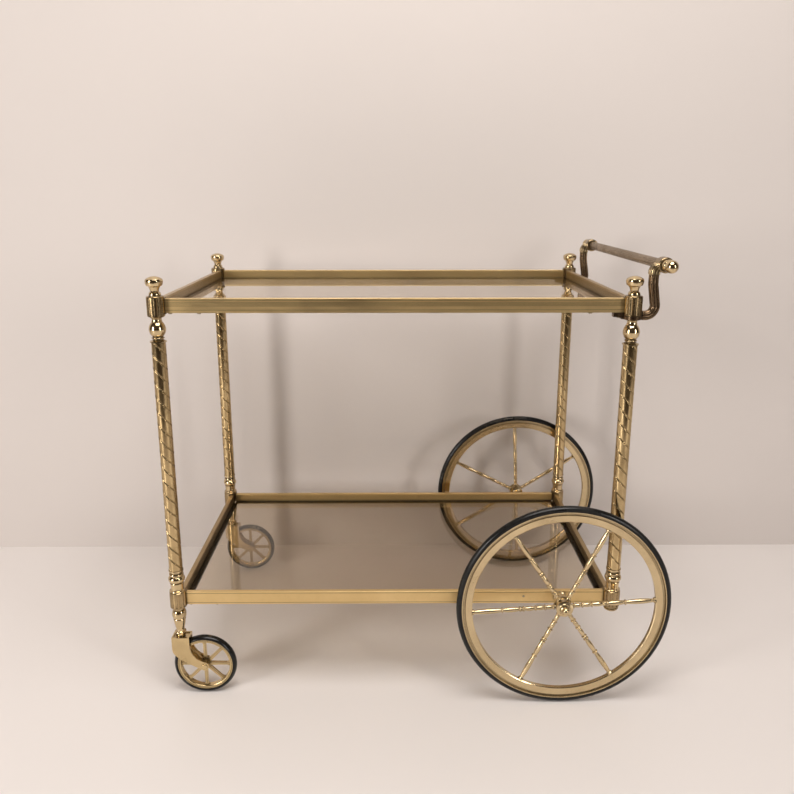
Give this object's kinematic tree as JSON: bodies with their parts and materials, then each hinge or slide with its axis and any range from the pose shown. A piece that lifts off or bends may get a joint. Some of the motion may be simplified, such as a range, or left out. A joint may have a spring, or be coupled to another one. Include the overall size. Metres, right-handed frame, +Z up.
{
  "type": "bar cart",
  "caption": "Wheeled brass serving cart with glass shelves on twisted posts, large spoked wheels under the push handle and swivel casters at the other end.",
  "frame": {"origin": "on the floor, under the middle of the overall length and width", "axes": "+X towards the push handle, +Y towards the back long side, +Z up"},
  "size_m": [0.742, 0.5046, 0.6616],
  "materials": {
    "steel": "plain",
    "polished_brass": "polished",
    "caster_brass": "satin",
    "caster_tyre": "glossy rubber",
    "bronze": "dark bronzed",
    "bar_brass": "satin",
    "rail_brass": "satin antique",
    "block_brass": "satin antique",
    "smoked_glass": "polished, smoked",
    "post_brass": "satin",
    "wheel_brass": "satin",
    "wheel_tyre": "satin rubber"
  },
  "bodies": {
    "frame": {"axle_backing_plates": "steel", "axle_cap_nut_back": "polished_brass", "axle_cap_nut_front": "polished_brass", "caster_leg_back": "polished_brass", "caster_leg_front": "polished_brass", "finials": "polished_brass", "foot_caps": "polished_brass", "handle_arm_back": "bronze", "handle_arm_front": "bronze", "handle_bar": "bar_brass", "handle_clasp_back": "bronze", "handle_clasp_front": "bronze", "handle_knobs": "polished_brass", "lower_back_rail": "rail_brass", "lower_block_back_caster_end": "block_brass", "lower_block_back_handle_end": "block_brass", "lower_block_front_caster_end": "block_brass", "lower_block_front_handle_end": "block_brass", "lower_caster_end_rail": "rail_brass", "lower_collars": "polished_brass", "lower_front_rail": "rail_brass", "lower_glass_shelf": "smoked_glass", "lower_handle_end_rail": "rail_brass", "plate_pins": "steel", "rail_screws": "steel", "tie_rods": "steel", "twisted_post_back_caster_end": "post_brass", "twisted_post_back_handle_end": "post_brass", "twisted_post_front_caster_end": "post_brass", "twisted_post_front_handle_end": "post_brass", "upper_back_rail": "rail_brass", "upper_block_back_caster_end": "block_brass", "upper_block_back_handle_end": "block_brass", "upper_block_front_caster_end": "block_brass", "upper_block_front_handle_end": "block_brass", "upper_caster_end_rail": "rail_brass", "upper_collars": "polished_brass", "upper_front_rail": "rail_brass", "upper_glass_shelf": "smoked_glass", "upper_handle_end_rail": "rail_brass", "wheel_axle_back": "wheel_brass", "wheel_axle_front": "wheel_brass"},
    "front_wheel": {"wheel_rim_front": "wheel_brass", "wheel_tyre_front": "wheel_tyre", "wheel_spokes_front": "wheel_brass", "wheel_hub_front": "wheel_brass"},
    "front_caster_swivel": {"caster_fork_front": "caster_brass", "caster_stem_front": "steel", "caster_axle_front": "caster_brass"},
    "front_caster_wheel": {"caster_wheel_front": "caster_brass", "caster_tyre_front": "caster_tyre"},
    "back_wheel": {"wheel_rim_back": "wheel_brass", "wheel_tyre_back": "wheel_tyre", "wheel_spokes_back": "wheel_brass", "wheel_hub_back": "wheel_brass"},
    "back_caster_swivel": {"caster_fork_back": "caster_brass", "caster_stem_back": "steel", "caster_axle_back": "caster_brass"},
    "back_caster_wheel": {"caster_wheel_back": "caster_brass", "caster_tyre_back": "caster_tyre"}
  },
  "joints": [
    {"name": "front_wheel_spin", "type": "hinge", "parent": "frame", "child": "front_wheel", "pos_m": [0.21345, -0.231, 0.1576], "axis": [0, 1, 0], "continuous": true},
    {"name": "front_caster_swivel_turn", "type": "hinge", "parent": "frame", "child": "front_caster_swivel", "pos_m": [-0.35855, -0.202, 0.11], "axis": [0, 0, 1], "continuous": true},
    {"name": "front_caster_wheel_spin", "type": "hinge", "parent": "front_caster_swivel", "child": "front_caster_wheel", "pos_m": [-0.32355, -0.202, 0.0475], "axis": [0, 1, 0], "continuous": true},
    {"name": "back_wheel_spin", "type": "hinge", "parent": "frame", "child": "back_wheel", "pos_m": [0.21345, 0.231, 0.1576], "axis": [0, 1, 0], "continuous": true},
    {"name": "back_caster_swivel_turn", "type": "hinge", "parent": "frame", "child": "back_caster_swivel", "pos_m": [-0.35855, 0.202, 0.11], "axis": [0, 0, 1], "continuous": true},
    {"name": "back_caster_wheel_spin", "type": "hinge", "parent": "back_caster_swivel", "child": "back_caster_wheel", "pos_m": [-0.32355, 0.202, 0.0475], "axis": [0, 1, 0], "continuous": true}
  ]
}
